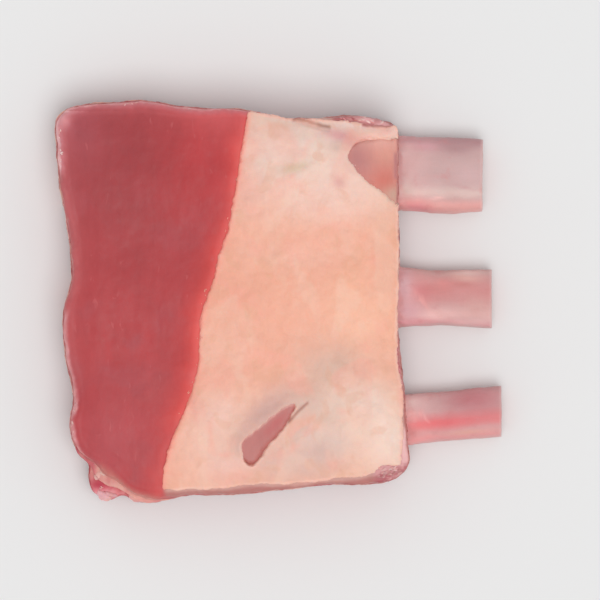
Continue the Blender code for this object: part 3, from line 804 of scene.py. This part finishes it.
def make_lean(material):
    """The top muscle: bare on the left, under the fat on the right, and seen through the fat's windows."""
    def rounding(x):
        across = rise(x, MUSCLE_ROUND_FROM, MUSCLE_ROUND_TO)
        return MUSCLE_ROUND_LEFT + (MUSCLE_ROUND_RIGHT - MUSCLE_ROUND_LEFT) * across

    points, faces, rim, w = layer(
        **MUSCLE, floor=lambda x, y, edge: seam_roof(x, y) - LAYER_SUNK, roof=lean_top, round_above=rounding,
    )
    tint = lean_tint(points, rim, w)
    side, cut = np.clip((1 - w) * 4, 0, 1), np.clip((0.75 - w) * 4, 0, 1)
    x, y = points.T[:2]
    scraps = np.clip(sum(scrap_zones(x, y)), 0, 1) * rise(depth_under_fat(x, y), 3, 1) * rise(w, 0.45, 0.65)
    grain = fractal(points, 3.5, squeeze=(1, 0.45, 1)) * 0.12
    points[:, 2] += grain * (1 - side)
    reliefs = (11, 0.3 + 0.5 * side), (3.5, 0.35 * side + 0.4 * scraps), (1.8, 0.3 * scraps)
    points = roughen(points, faces, *reliefs)
    return add_piece(
        "top_muscle_meat", points, faces, tint, cut, material, "lean", "top_muscle", frayed=scraps,
    )


def fat_tint(points, rim, w):
    """Tints of the fat cap: creamy at its far and near ends, peach between, paler or greyer in places, with
    painted highlights on its edges and painted light on its window walls.
    """
    x, y = points.T[:2]
    to_lean = x - read_curve(FAT_LEFT, y)
    wobble = fractal(points, 9, seed=3.0)
    slit, patch = window_distances(x, y)
    wall = np.clip((0.75 - w) * 4, 0, 1) * (to_lean > 6)
    tint = dab(paint((243, 178, 154), ((234, 203, 190), rise(y, 34, 76))), x, y, FAT_MARKS)
    return paint(
        tint,
        ((248, 172, 152), np.exp(-to_lean / 5.0) * 0.6),
        # Painted highlights along the fat's edges: its left edge next, then its other edges.
        ((255, 156, 142), stripe(to_lean, 0.0, 1.7) * (0.8 + 0.3 * wobble)),
        ((252, 196, 180), rise(rim, 1.8, 0.8) * (to_lean > 5) * 0.8),
        # Painted light: the fat's walls round the patch and the slit made paler against their shade.
        ((250, 208, 192), between(patch, -1.5, 1.0, 1.0) * 0.5),
        ((240, 192, 178), between(slit, -1.5, 1.4, 1.0) * 0.7),
        ((222, 172, 164), spot(x, y, (43, 86.5), (6.5, 5), -20) * 0.9),
        # Painted shade in the folds.
        *((colour, share * strength) for share, _, colour, strength in creases(x, y)),
        ((232, 176, 164), wall * 0.7),
    )


def make_fat(material):
    """The fat cap, with its lip beside the bare lean and its two windows."""
    def roof(x, y, edge):
        level = crown(x, y, edge)
        for share, depth, *_ in creases(x, y):
            level = level - depth * share
        return level - (fat_thickness(x, y) + WINDOW_SUNK) * window_cut(x, y)

    points, faces, rim, w = layer(
        **FAT_CAP,
        floor=lambda x, y, edge: np.minimum(lean_top(x, y, edge), roof(x, y, edge)) - FAT_SUNK,
        roof=roof,
    )
    tint = fat_tint(points, rim, w)
    slit, patch = window_distances(points[:, 0], points[:, 1])
    in_patch = patch < 0
    points[in_patch, 0] = np.minimum(points[in_patch, 0], PATCH_END)
    away = rise(np.minimum(slit, patch), 1, 6)
    points = roughen(points, faces, (17, 0.6 * away), (7, 0.16 + 0.2 * away))
    for axis, depth, seed, fine_seed in ((0, 0.7, 8.0, 12.0), (1, 0.5, 11.0, 13.0)):
        waver = fractal(points, 4.5, seed=seed) * depth + fractal(points, 1.7, seed=fine_seed) * 0.35
        points[:, axis] += waver * rise(rim, 4, 1)
    points[:, 0] += FAT_OVERHANG * rise(points[:, 0], 60, 65)
    return add_piece("fat_cap_fat", points, faces, tint, 0.0, material, "fat", "fat_cap")


def make_seam(material):
    """The pale layer of fat between the two layers of lean."""
    points, faces, rim, w = layer(
        **SEAM,
        floor=lambda x, y, edge: seam_floor(x, y) - LAYER_SUNK,
        roof=lambda x, y, edge: seam_roof(x, y),
    )
    x, y = points.T[:2]
    faint = rise(fractal(points, 15, seed=21.0) * 1.6 - 0.25)
    baring = spot(x, y, (-88, -100), (22, 12))
    tint = paint(
        SEAM_TINT,
        ((196, 104, 102), faint * 0.85),
        ((224, 164, 156), baring),
        ((220, 144, 140), baring * rise(fractal(points, 4, seed=25.0) * 2)),
        ((224, 150, 148), rise(rim, 2.5, 1.0) * between(w, 0.5, 1.2, 0.4) * 0.6),
        ((198, 104, 112), rise(x, -99, -102) * rise(y, -60, -70)),
    )
    points = roughen(points, faces, (11, 0.6), (3.5, 0.3 + 0.4 * faint))
    return add_piece("seam_fat_layer", points, faces, tint, 0.0, material, "seam_fat", "seam_fat")


def half_across(width, top_lean):
    """Half the width of an upright section that is as wide as the bone once its top leans over."""
    power = BONE_SQUARENESS / (BONE_SQUARENESS - 1)
    return ((width / 2) ** power - (top_lean / 2) ** power) ** (1 / power)


def inside_bone(points, thickness, top_lean, far_edge, near_edge):
    """How far the points lie inside a bone's section, as a share: 1 at its middle, 0 on its skin."""
    x, y, z = points.T
    far, near = read_curve(far_edge, x), read_curve(near_edge, x)
    up = 2 * z / thickness - 1
    across = (y - (far + near) / 2 - top_lean / 2 * up) / half_across(far - near, top_lean)
    return 1 - (np.abs(across) ** BONE_SQUARENESS + np.abs(up) ** BONE_SQUARENESS) ** (1 / BONE_SQUARENESS)


def rib_lean_tint(points, rim, w):
    """Tints of the lean round the bones: a film below, pale brims, and the near left corner's bared flesh."""
    x, y, z = points.T
    film = (w == 0) * (0.55 + 0.6 * fractal(points, 19, 4, seed=5.0, squeeze=(0.5, 1, 1)))
    outer = np.maximum(rise(y, 84, 92), rise(x, -84, -94))
    brim = rise(rim, 2.5, 1.0) * rise(w, 0.84, 0.94) * outer
    upper = rise(z + 1.5 * fractal(points, 5, seed=31.0), 14, 20)
    corner = spot(x, y, (-96, -104), (14, 9)) * upper
    return paint(
        (162, 58, 64),
        ((184, 80, 82), 0.5 + 0.6 * fractal(points, 12, seed=15.0)),
        ((216, 158, 152), film * 0.8),
        (SEAM_TINT, rise(w + 0.07 * fractal(points, 3, seed=27.0), 0.95, 0.98) * 0.8),
        ((222, 142, 142), brim * (0.45 + 0.6 * fractal(points, 6, seed=33.0))),
        ((204, 96, 106), corner),
        ((226, 150, 152), corner * rise(fractal(points, 3, seed=29.0) * 3 - 0.3) * 0.6),
        ((182, 58, 76), corner * spot(x, y, (-98.6, -101.5), (4, 3.5))),
        ((246, 184, 188), spot(x, y, (-95, -106.8), (7, 3.4), -8) * upper * 0.9),
    )


def make_rib_lean(material):
    """The lean round the bones. Its underside draws up between them, and its left side bares their ends."""
    def floor(x, y, edge):
        between_bones = 0.5 - 0.5 * np.cos(2 * math.pi * (y - BONE_RIDGE_AT) / BONE_PITCH)
        return BONE_SIDE + BETWEEN_BONES * between_bones

    def roof(x, y, edge):
        return seam_floor(x, y) + RIB_MEAT_RAISED

    points, faces, rim, w = layer(**RIB_MEAT, floor=floor, roof=roof)
    side = np.clip(np.minimum(w, 1 - w) * 8, 0, 1)
    points = roughen(points, faces, (11, 0.4 + 0.5 * side), (3.5, 0.15 + 0.3 * side))
    for _, thickness, top_lean, far_edge, near_edge in RIBS:
        inside = inside_bone(points, thickness, top_lean, far_edge, near_edge)
        bare = rise(inside, -0.024, 0.036) * (points[:, 0] < -90)
        points[:, 0] += bare * np.clip(far_edge[0][0] + BARED_TO - points[:, 0], 0, None)
    tint = rib_lean_tint(points, rim, w)
    return add_piece("rib_meat_lean", points, faces, tint, side, material, "rib_lean", "rib_meat")


# ---- Bones ----

# Bands along each bone: its own pink, mauve and red, with painted light: brighter near edges, and on the
# first bone a pale highlight band and a darker far edge in painted shade.
BONE_BANDS_AND_SHADING = {  # (share across from the near edge, half width, tint, strength)
    "rib_bone_1": (
        (0.27, 0.07, (222, 194, 187), 0.9), (0.07, 0.11, (231, 172, 167), 1.0),
        (0.95, 0.09, (186, 142, 145), 0.9),
    ),
    "rib_bone_2": (
        (0.62, 0.30, (212, 140, 138), 0.9), (0.22, 0.12, (224, 178, 174), 0.9),
        (0.07, 0.06, (222, 156, 162), 0.8), (0.97, 0.05, (206, 168, 164), 0.9),
    ),
    "rib_bone_3": (
        (0.85, 0.25, (204, 164, 164), 0.9), (0.39, 0.17, (224, 128, 129), 1.0),
        (0.08, 0.11, (224, 158, 157), 1.0),
    ),
}
BONE_MARKS = {  # centre, reach, tint, strength, and slope where there is one
    "rib_bone_1": (
        ((99, 84), (9, 4), (184, 144, 146), 0.8), ((82, 85), (7, 2.5), (208, 160, 166), 0.8),
        ((104, 70), (9, 4), (216, 180, 180), 0.8), ((71, 61.5), (4, 5), (202, 180, 172), 0.6),
        ((78, 51), (8, 2.8), (214, 141, 147), 0.9, -4), ((102, 50), (12, 3), (235, 176, 171), 0.7),
        # The thin pale mark at (87.5, 56.5) is a painted highlight.
        ((87.5, 56.5), (4, 0.9), (243, 196, 190), 0.9, 8), ((102, 62.5), (6, 0.8), (206, 160, 160), 0.8, -14),
        ((90, 52.5), (10, 2), (238, 182, 176), 0.8),
    ),
    "rib_bone_2": (
        ((69, 8), (6.5, 10), (210, 174, 178), 1.0), ((72, -6), (8, 6), (204, 158, 163), 0.9),
        ((103, 12.5), (9, 2.4), (226, 176, 167), 0.9, -4), ((101.5, 9), (7, 1.5), (204, 134, 130), 0.8),
        ((91, 9), (5, 3), (224, 150, 147), 0.8), ((79, 5), (5, 4), (204, 128, 130), 0.7, -20),
        # The thin pale line at (79.5, -0.5), along a membrane's edge, is a painted highlight.
        ((110, -4), (9, 6), (216, 166, 160), 0.8), ((79.5, -0.5), (6.5, 0.9), (228, 168, 164), 0.9, -52),
        ((89, -8.5), (9, 3), (236, 190, 186), 0.9), ((105, -12.2), (14, 2.2), (230, 188, 186), 0.8),
        ((104, 15.3), (8, 1.8), (234, 198, 192), 0.85),
    ),
    "rib_bone_3": (
        ((84, -57), (14, 6), (208, 174, 172), 0.9, 4), ((108, -55), (17, 8), (197, 128, 132), 1.0, 4),
        ((93, -67), (16, 2.8), (230, 112, 116), 0.8, 6), ((104, -72.5), (10, 1.2), (226, 170, 156), 0.7, 4),
        ((76.5, -63.5), (3.5, 0.5), (240, 180, 178), 0.9, 52),
        ((80.5, -64), (3.5, 0.5), (240, 180, 178), 0.9, -55), ((72, -73), (5, 3), (204, 132, 130), 0.8),
        ((72, -56), (6, 4), (216, 188, 184), 0.9), ((72, -63.5), (4.5, 3.5), (234, 180, 176), 0.9),
    ),
}


def bone_loops(thickness, top_lean, far_edge, near_edge):
    """Rings of points round the bone from its sawn end to its bare end."""
    start, end = far_edge[0][0], far_edge[-1][0]
    x = np.linspace(start, end, BONE_STATIONS)
    far, near = read_curve(far_edge, x), read_curve(near_edge, x)
    lift = BARE_LIFT * rise(x, BARE_FROM, end)
    turns = 2 * math.pi * (np.arange(BONE_SIDES) + 0.5) / BONE_SIDES
    across, up = (np.sign(f) * np.abs(f) ** (2 / BONE_SQUARENESS) for f in (np.cos(turns), np.sin(turns)))
    across, up = across / across.max(), up / up.max()
    half = half_across(far - near, top_lean)
    y = ((far + near) / 2)[:, None] + across * half[:, None] + top_lean / 2 * up
    z = (1 + up) / 2 * thickness + lift[:, None]
    return np.stack((np.broadcast_to(x[:, None], y.shape), y, z), -1)


def sawn_end(loop, outward):
    """Rings that close a bone's end, slightly hollow where its core is spongy, and how deep in the core
    each lies."""
    shares = np.linspace(1, 0.02, BONE_END_RINGS + 1)[1:]
    middle = loop.mean(0)
    inner = middle + (loop - middle) * shares[:, None, None]
    core = rise(1 - shares, 0.0875, 0.3375)
    inner[:, :, 0] -= outward * CORE_HOLLOW * core[:, None]
    return inner, np.broadcast_to(core[:, None], inner.shape[:2])


def bone_tint(points, name, far_edge, near_edge, core):
    x, y, z = points.T
    near, end, collar_at = read_curve(near_edge, x), far_edge[-1][0], COLLAR_AT[name]
    wobble = 0.04 * fractal(points, 8, seed=6.0, squeeze=(0.4, 1, 1))
    share = (y - near) / (read_curve(far_edge, x) - near) + wobble
    bands = [(colour, stripe(share, at, half) * strength) for at, half, colour, strength in BONE_BANDS_AND_SHADING[name]]
    tint = dab(paint((206, 171, 169), *bands), x, y, BONE_MARKS[name])
    tint = paint(
        tint,
        ((208, 150, 148), rise(x - 1.8 * fractal(points, 3, seed=9.0), collar_at + 3, collar_at) * 0.4),
        # Painted highlight: a thin pale line round the bone's bare end.
        ((234, 200, 198), rise(x, end - 1.6, end - 0.6) * 0.6),
    )
    # Painted light: the bones lightened near the rack, where it shades them.
    tint = tint * (1 + BONE_LIGHTER * rise(x, RACK_SHADE_TO, collar_at))[:, None]
    return paint(tint, ((214, 168, 162), rise(z, 7, 4) * 0.8), ((214, 120, 112), core * 0.8))


def make_bone(name, thickness, top_lean, far_edge, near_edge, material):
    """A rib bone: a loft of flat-bottomed sections, closed by sawn ends with a spongy core."""
    skin = bone_loops(thickness, top_lean, far_edge, near_edge)
    left_end, left_core = sawn_end(skin[0], -1)
    right_end, right_core = sawn_end(skin[-1], 1)
    loops = np.concatenate((left_end[::-1], skin, right_end))
    core = np.concatenate((left_core[::-1], np.zeros(skin.shape[:2]), right_core)).ravel()
    points, faces = loops.reshape(-1, 3), tube_faces(len(loops), BONE_SIDES)
    tint = bone_tint(points, name, far_edge, near_edge, core)
    collar = stripe(points[:, 0], COLLAR_AT[name] + 1, 2.2)
    points = roughen(points, faces, (14, -0.45), (4, -0.15), (2.5, -0.8 * collar))
    points[:, 2] = np.maximum(points[:, 2], REST_GAP)
    return add_piece(name + "_bone", points, faces, tint, core, material, "bone", name)


# ---- Small bits that lie on the rack ----

CREAM, ROSE, PALE_ROSE, RED_FLESH = (238, 192, 180), (228, 152, 154), (242, 196, 192), (190, 84, 92)
PEACH, LIGHT_PEACH = (246, 176, 160), (252, 214, 200)
CORNER_BITS = (  # (x, y) knots, width at each knot, height, tint
    (((-100.8, -98.8), (-99.4, -96.4), (-97.8, -94.6)), (2.4, 4.0, 3.0), 0.5, (234, 182, 174)),
    (((-98.4, -95), (-96, -94.8), (-94.2, -96)), (2.0, 3.2, 2.0), 0.3, CREAM),
    (((-99.4, -104.4), (-97.4, -107), (-94.6, -108.6), (-91.8, -108.4)), (1.6, 4.0, 3.4, 1.6), 0.7,
     (234, 178, 182)),
    (((-95.4, -105.4), (-92, -107), (-88.6, -107.4)), (1.6, 2.6, 1.4), 0.5, (224, 162, 164)),
    (((-82.5, -107.4), (-77, -109.2), (-71.5, -108.2)), (2.2, 4.0, 2.2), 0.6, (230, 160, 162)),
)
CORNER_SCATTER = (3, ((-98, -103), (-94, -105.5)), 1.0, 8, 0.8, (PALE_ROSE, ROSE, RED_FLESH))
RIM_SCATTERS = (  # seed, line, spread, count, half length, tints
    (5, ((30, 100.8), (44, 100), (58, 97.5)), 0.9, 20, 1.2, (PALE_ROSE, ROSE, (196, 110, 114))),
    (6, ((52, -96.6), (60, -94.6), (66, -93)), 0.9, 16, 1.3,
     ((206, 138, 142), (214, 148, 150), (184, 112, 118))),
    (7, ((55, -93), (65, -91.4)), 0.6, 10, 1.2, ((232, 178, 178), ROSE)),
    (8, ((66.6, -50), (67.2, -36), (65.6, -24)), 0.4, 14, 0.6, (ROSE, (204, 120, 124))),
    # Painted highlights: tiny pale bits along the patch's edge, as glints.
    (9, ((41.6, 76.5), (46, 69.5), (53, 63.5)), 0.4, 9, 0.35, (LIGHT_PEACH, (236, 152, 142))),
    (10, ((-38.5, 14), (-42, -6), (-44.5, -34), (-55, -66)), 0.7, 16, 0.6, (PEACH, (240, 150, 138))),
    (11, ((-22, 74), (-27, 44), (-36, 15)), 0.6, 12, 0.6, (PEACH, (236, 140, 130))),
    (12, ((-119, 76), (-120.4, 90), (-118.5, 103)), 0.5, 12, 0.8, (PALE_ROSE, (250, 214, 212))),
    (13, ((-84, 107.9), (-71, 108.4), (-46, 105)), 0.4, 16, 0.8, (ROSE, (236, 172, 172))),
    (14, ((-112, -76), (-113.4, -68), (-111.6, -56), (-115.5, -36)), 0.4, 14, 0.8, (ROSE, PALE_ROSE)),
)
STRIP_SPACING, STRIP_SIDES, STRIP_SUNK, STRIP_DROP = 0.5, 14, 0.9, 1.0
RIM_LEVEL = 33.0  # bits at the rims lie no lower
LEVEL_WITHIN = 2.5  # and none lies over a step that is higher than this
ABOVE_ALL = 90.0


def scattered(seed, line, spread, count, half_length, tints):
    """Short bits strewn along a line, in the form that CORNER_BITS has."""
    draw = np.random.default_rng(seed)
    path = smooth_line(line, 100)
    heading = math.atan2(*(path[-1] - path[0])[::-1])
    for place in draw.integers(0, len(path), count):
        middle = path[place] + draw.normal(0, spread, 2)
        turn = heading + draw.normal(0, 0.45)
        half = half_length * draw.uniform(0.5, 1.4) * np.array((math.cos(turn), math.sin(turn)))
        width = half_length * draw.uniform(0.45, 1.1)
        knots = tuple(tuple(point) for point in (middle - half, middle, middle + half))
        height, tint = draw.uniform(0.15, 0.45), tints[draw.integers(len(tints))]
        yield knots, (0.8 * width, width, 0.7 * width), height, tint


def ground(tree, x, y):
    """Height of the rack's surface seen from above, or 0 past its edge."""
    hit = tree.ray_cast((x, y, ABOVE_ALL), (0.0, 0.0, -1.0))[0]
    return 0.0 if hit is None else hit.z


def draped(tree, knots, widths, height):
    """A closed strip that follows the surface below it, rounded on top and sunk a little into it."""
    length = np.linalg.norm(np.diff(smooth_line(knots, 12), axis=0), axis=1).sum()
    count = max(6, int(length / STRIP_SPACING) + 1)
    path = smooth_line(knots, count)
    share = np.linspace(0, 1, count)
    half = read_curve(list(zip(np.linspace(0, 1, len(widths)), widths)), share) / 2
    half = half * (1 + 0.3 * fractal(np.column_stack((path, share)), 2.5))
    along = np.gradient(path, axis=0)
    along /= np.linalg.norm(along, axis=1)[:, None]
    across = np.column_stack((-along[:, 1], along[:, 0]))
    levels = np.array([ground(tree, *middle) for middle in path])
    levels = np.minimum(levels, levels.min() + STRIP_DROP)
    to_end = np.minimum(share, 1 - share) * length
    taper = np.sqrt(np.clip(1 - np.clip(1 - to_end / (half + 0.3), 0, 1) ** 2, 0.02, 1))
    turns = 2 * math.pi * np.arange(STRIP_SIDES) / STRIP_SIDES
    dome = np.where(np.sin(turns) > 0, height, STRIP_SUNK) * np.sin(turns)
    rings = []
    for middle, level, side, width, thin in zip(path, levels, across, half, taper):
        fray = [1 + 0.28 * noise.fractal((*middle, 0.35 * math.cos(turn)), 1.0, 2.0, 3) for turn in turns]
        plan = middle + side * (np.cos(turns) * width * thin * fray)[:, None]
        base = np.clip([ground(tree, px, py) for px, py in plan], level - STRIP_DROP, level + STRIP_DROP)
        rings.append(np.column_stack((plan, base + dome * thin + 0.1)))
    points, faces = np.concatenate(rings), tube_faces(count, STRIP_SIDES)
    return roughen(points, faces, (1.6, -0.16 * height), (5.0, -0.12)), faces


def is_borne(tree, knots):
    """Whether the rack's top lies under all of a bit, at one level."""
    levels = [ground(tree, *place) for place in smooth_line(knots, 7)]
    return min(levels) > max(RIM_LEVEL, max(levels) - LEVEL_WITHIN)


def make_bits(name, tree, bits, material, slot):
    """Joins a group of draped strips into one piece."""
    strips, tints = [], []
    for knots, widths, height, colour in bits:
        strips.append(draped(tree, knots, widths, height))
        shade = 1 + 0.06 * fractal(strips[-1][0], 2.2)
        tints.append(np.array(colour, float) * shade[:, None])
    points, faces = joined(strips)
    add_piece(name, points, faces, np.concatenate(tints), 0.0, material, slot)


# ---- Stage ----

def make_stage():
    reach = 5.0
    corners = ((-reach, -reach, 0), (reach, -reach, 0), (reach, reach, 0), (-reach, reach, 0))
    mesh = bpy.data.meshes.new("floor")
    mesh.from_pydata(corners, [], [(0, 1, 2, 3)])
    matt = bpy.data.materials.new("floor")
    matt.use_nodes = True
    sockets = matt.node_tree.nodes["Principled BSDF"].inputs
    sockets["Base Color"].default_value = (0.86, 0.86, 0.86, 1)
    sockets["Roughness"].default_value = 0.9
    sockets["Specular IOR Level"].default_value = 0.1
    mesh.materials.append(matt)
    floor = add_object("floor", mesh)


def make_light():
    world = bpy.data.worlds.new("studio")
    world.use_nodes = True
    background = world.node_tree.nodes["Background"]
    background.inputs["Color"].default_value = (1, 1, 1, 1)
    background.inputs["Strength"].default_value = WORLD_STRENGTH
    bpy.context.scene.world = world
    sun = bpy.data.lights.new("sun", "SUN")
    sun.energy = SUN_STRENGTH
    sun.angle = math.radians(SUN_SIZE)
    lamp = add_object("sun", sun)
    lamp.rotation_euler = [math.radians(turn) for turn in SUN_TURN]
    bpy.context.scene.view_settings.view_transform = "Standard"


def make_camera():
    lens = bpy.data.cameras.new("camera")
    lens.lens = lens.sensor_width * (CAMERA_HEIGHT - FRAME_LEVEL) / FRAME_WIDTH
    lens.clip_end = 100.0
    camera = add_object("camera", lens)
    camera.location = Vector((*FRAME_CENTRE, CAMERA_HEIGHT)) * MM
    bpy.context.scene.camera = camera


def main():
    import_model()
    make_camera()
    make_light()
    make_stage()
    lean, fat = lean_material(), fat_material("fat", 1.0)
    seam, bone = fat_material("seam", 0.8), bone_material()
    points, faces = joined([make_lean(lean), make_fat(fat), make_seam(seam), make_rib_lean(lean)])
    tree = BVHTree.FromPolygons(points.tolist(), faces)
    for rib in RIBS:
        make_bone(*rib, bone)
    make_bits("corner_bits", tree, (*CORNER_BITS, *scattered(*CORNER_SCATTER)), seam, "seam_fat")
    at_rims = [bit for scatter in RIM_SCATTERS for bit in scattered(*scatter) if is_borne(tree, bit[0])]
    # Trim scraps at the rims, and the pale bits by the patch, which are painted highlights.
    make_bits("trim_bits_and_glints", tree, at_rims, seam, "fat")


main()
